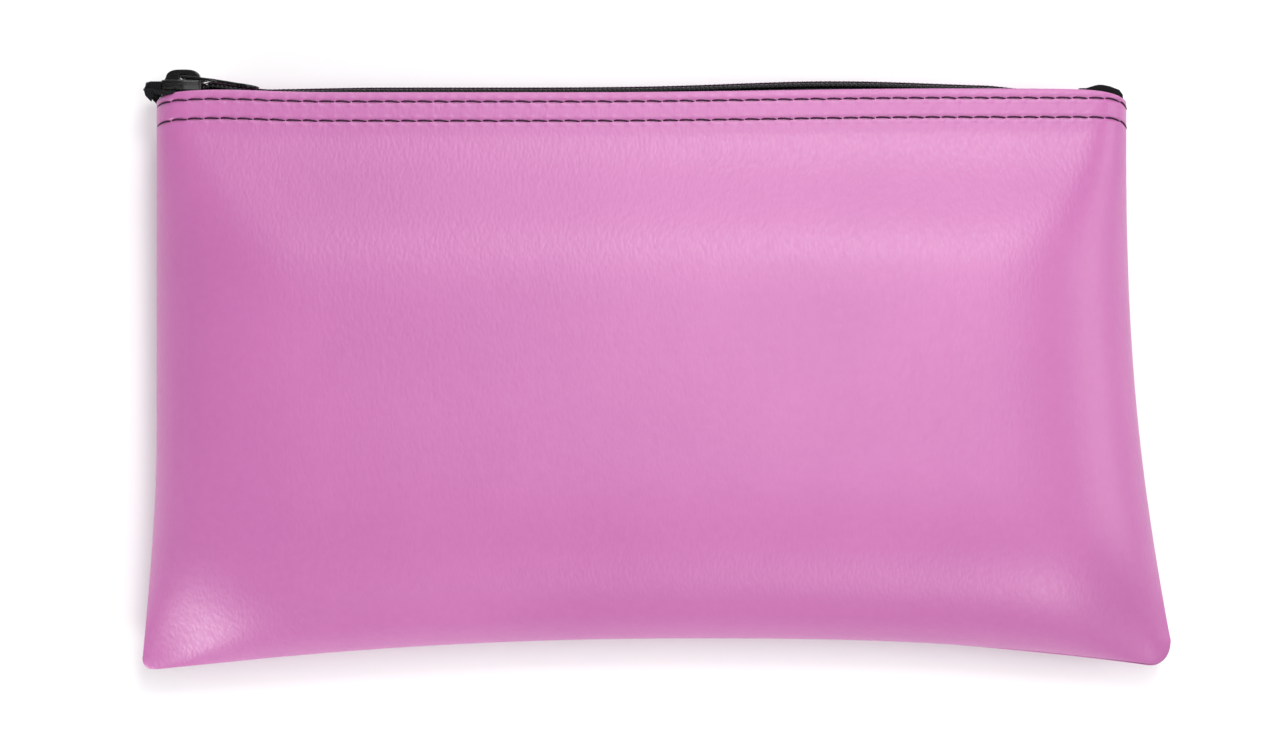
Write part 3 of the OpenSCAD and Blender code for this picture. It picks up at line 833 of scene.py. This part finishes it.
def pull_piece():
    """The pull tab: a window that rides on the bridge, a waist, and a round end with a hole."""
    length = box_mm("pull_tab")[1][0] - PIVOT[0]
    tip_y = box_mm("pull_tab")[0][1] - PIVOT[1] + 0.35
    half, waist, end_r = 3.1, 2.55, 3.3            # half-widths of the window's frame, the waist and the end
    window_z, window_end = 1.75, 6.4
    shoulder_x, waist_x = 7.6, 9.4
    end_x = length - end_r
    neck = math.degrees(math.asin(waist / end_r))
    outer = ([(-0.45, -half + 0.5), (-0.1, -half), (shoulder_x, -half)]
             + arc_points(waist_x, -half - 0.2, 0.9, 150, 90, 4)
             + arc_points(end_x, 0, end_r, -180 + neck, 180 - neck, 40)
             + arc_points(waist_x, half + 0.2, 0.9, -90, -150, 4)
             + [(shoulder_x, half), (-0.1, half), (-0.45, half - 0.5)])
    window = (arc_points(0.65, -window_z + 0.5, 0.5, 180, 270, 6)
              + arc_points(window_end - 1.2, -window_z + 1.2, 1.2, 270, 360, 8)
              + arc_points(window_end - 1.2, window_z - 1.2, 1.2, 0, 90, 8)
              + arc_points(0.65, window_z - 0.5, 0.5, 90, 180, 6))
    hole = arc_points(end_x, 0, 1.4, 0, 345, 24)
    mesh = outline_curve("pull_tab_plan", [outer, window, hole], 0.42, 0.2)
    work = bmesh.new()
    work.from_mesh(mesh)
    bmesh.ops.remove_doubles(work, verts=work.verts, dist=1e-6)
    for cut in np.arange(0.5, length, 0.8):
        geometry = work.verts[:] + work.edges[:] + work.faces[:]
        bmesh.ops.bisect_plane(work, geom=geometry, plane_co=(cut * MM, 0, 0), plane_no=(1, 0, 0), dist=1e-7)
    # The plate follows the CAD tab: over the wing's end, then down to the chain
    knee_x, knee_y = SLIDER_HALF + 0.7, -0.5
    for vert in work.verts:
        x, across, thick = vert.co / MM
        level = np.interp(x, [0, knee_x, length], [0, knee_y, tip_y])
        soften = 0.16 * bell(x, knee_x, 1.6)
        taper = np.interp(x, [0, knee_x, length], [1.0, 0.95, 0.83])
        vert.co = Vector((PIVOT[0] + x, PIVOT[1] + level - soften + thick * taper, PIVOT[2] + across)) * MM
    bmesh.ops.recalc_face_normals(work, faces=work.faces)
    work.to_mesh(mesh)
    work.free()
    mesh.materials.append(ENAMEL)
    obj = bpy.data.objects.new("pull_tab_shell", mesh)
    bpy.context.scene.collection.objects.link(obj)
    bar = Shape()
    half_bar = half - 0.05
    z = np.array([-half_bar, -half_bar + 0.12, half_bar - 0.12, half_bar])
    radius = np.array([0.36, 0.48, 0.48, 0.36])
    tube(bar, np.stack([0 * z + PIVOT[0], 0 * z + PIVOT[1], PIVOT[2] + z], axis=1), radius, sides=20)
    return obj, bar.piece("pull_bar", ENAMEL, tidy=True)


def top_stop(side):
    """A clip crimped round one row of the coil, at the closed end."""
    x0, x1 = X_LEFT - 2.5, X_LEFT - 0.9
    low, high = Y_TAPE + LIFT + 0.1, Y_COIL + COIL_H + LIFT + 0.55
    angle = np.linspace(0, 2 * math.pi, 28, endpoint=False)
    shape = Shape()
    rings = []
    for x, size in ((x0, 0.75), (x0 + 0.1, 0.9), (x0 + 0.35, 1), (x1 - 0.35, 1), (x1 - 0.1, 0.92), (x1, 0.8)):
        round_y = np.sign(np.sin(angle)) * np.abs(np.sin(angle)) ** 0.6
        round_z = np.sign(np.cos(angle)) * np.abs(np.cos(angle)) ** 0.6
        y = (low + high) / 2 + size * (high - low) / 2 * round_y
        z = 2.3 + 1.95 * size * round_z
        rings.append(np.stack([np.full_like(y, x), y, SEAM_Z + side * z], axis=1))
    loft(shape, rings)
    return shape


def smooth_by_angle(obj):
    """Rounded faces shade smoothly, and edges sharper than 35 degrees stay crisp."""
    obj.data.shade_smooth()
    obj.data.set_sharp_from_angle(angle=math.radians(35))


# ---------------------------------------------------------------- make the pieces
front = panel(FRONT, "front_sheet")
back = panel(BACK, "back_sheet")
settle(front, FRONT, "vinyl", "front_panel", "front_panel_mouth")
settle(back, BACK, "vinyl", "back_panel")

for side, word in ((FRONT, "front"), (BACK, "back")):
    for row, place in zip(ROWS, ("upper", "lower")):
        thread = hem_stitches(side, row).piece(f"{word}_hem_stitches_{place}", THREAD, tidy=True)
        settle(thread, side, "thread", f"{word}_hem_thread_{place}")
    for make, piece_end, made, slot_name, node in (
            (tape_half, "tape", TAPE, "zipper_tape", "zipper_tape"),
            (coil_row, "coil", COIL, "zipper_coil", "zipper_coil"),
            (coil_cord, "coil_cord", CORD, "zipper_tape", "coil_cord"),
            (coil_stitching, "coil_stitches", THREAD, "thread", "coil_stitching")):
        part = make(side).piece(f"{word}_{piece_end}", made, tidy=True)
        settle(part, side, slot_name, f"{node}_{word}")

# The seams' threads lie between the two sheets, and ride on the bag
SEAM_INSET = 0.75
y_seam = np.arange(-HALF_H + 12, Y_HEM - 5, PITCH)
x_seam = np.arange(-HALF_W + 8, HALF_W - 11, PITCH)
seams = {"left": [(edge_left(y) + SEAM_INSET, y) for y in y_seam[::-1]],
         "right": [(edge_right(y) - SEAM_INSET, y) for y in y_seam],
         "bottom": [(x, edge_bottom(x) + SEAM_INSET) for x in x_seam]}
for word, line in seams.items():
    thread = seam_stitches(line).piece(f"{word}_seam_stitches", THREAD, tidy=True)
    node = "bottom_seam_thread" if word == "bottom" else f"side_seam_thread_{word}"
    settle(thread, BACK, "thread", node)

slider = slider_shell().piece("slider_shell", ENAMEL, tidy=True)
for obj in (slider, bridge_piece()):
    smooth_by_angle(obj)
    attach(obj, "slider")
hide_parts("slider_body")
pull, pull_bar = pull_piece()
smooth_by_angle(pull)
smooth_by_angle(pull_bar)
for obj in (pull, pull_bar):
    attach(obj, "pull")
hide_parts("pull_tab")

for side, word in ((FRONT, "front"), (BACK, "back")):
    stop = top_stop(side).piece(f"{word}_top_stop", ENAMEL, tidy=True)
    smooth_by_angle(stop)
    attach(stop, "bag")
    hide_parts(f"top_stop_{word}")

# The bottom stop is the CAD's, with rounded edges
bottom_stop = frame["nodes"]["bottom_stop"]
bottom_stop.data.materials.clear()
bottom_stop.data.materials.append(ENAMEL)
edge = bottom_stop.modifiers.new("rounded_edges", "BEVEL")
edge.width = 0.15 * MM
edge.segments = 3
edge.limit_method = "ANGLE"


# ---------------------------------------------------------------- floor, light and camera
def floor():
    mesh = bpy.data.meshes.new("floor")
    size, level = 2.5, -0.0003
    mesh.from_pydata([(-size, -size, level), (size, -size, level), (size, size, level), (-size, size, level)],
                     [], [(0, 1, 2, 3)])
    made = material("pale_floor", srgb(249, 249, 249), 0.8)
    mesh.materials.append(made)
    obj = bpy.data.objects.new("floor", mesh)
    bpy.context.scene.collection.objects.link(obj)


def area_light(name, place, aim, size, power):
    light = bpy.data.lights.new(name, "AREA")
    light.shape = "RECTANGLE"
    light.size, light.size_y = size
    light.energy = power
    obj = bpy.data.objects.new(name, light)
    obj.visible_camera = False
    obj.location = place
    obj.rotation_euler = (Vector(aim) - Vector(place)).to_track_quat("-Z", "Y").to_euler()
    bpy.context.scene.collection.objects.link(obj)


floor()
middle = (0, 0, SEAM_Z * MM)
area_light("key_above", (0.14, 0.55, 0.95), middle, (0.35, 0.25), 3.6)
area_light("overhead", (0.07, 0.06, 0.42), (0.07, 0.06, 0), (0.25, 0.2), 0.48)
area_light("back", (0.1, 0.95, 0.45), middle, (0.6, 0.3), 4.3)
area_light("front", (0.3, -0.62, 0.75), middle, (0.35, 0.25), 2.0)
area_light("right", (0.85, 0.1, 0.5), middle, (0.5, 0.5), 2.1)
area_light("low_left", (-0.55, -0.6, 0.22), middle, (0.4, 0.2), 3.9)

world = bpy.data.worlds.new("studio")
world.use_nodes = True
world.node_tree.nodes["Background"].inputs[0].default_value = (1, 1, 1, 1)
world.node_tree.nodes["Background"].inputs[1].default_value = 0.42
bpy.context.scene.world = world
bpy.context.scene.view_settings.view_transform = "Standard"

# The camera looks straight down through a long lens, as the photograph's does
VIEW_WIDTH = 0.3465                 # width of the view at the seam's height
VIEW_MIDDLE = (-0.0045, -0.0003)
LENS, SENSOR = 100.0, 36.0
camera = bpy.data.cameras.new("camera")
camera.lens, camera.sensor_width = LENS, SENSOR
camera_obj = bpy.data.objects.new("camera", camera)
camera_obj.location = (*VIEW_MIDDLE, SEAM_Z * MM + VIEW_WIDTH * LENS / SENSOR)
bpy.context.scene.collection.objects.link(camera_obj)
bpy.context.scene.camera = camera_obj

bpy.context.view_layer.update()
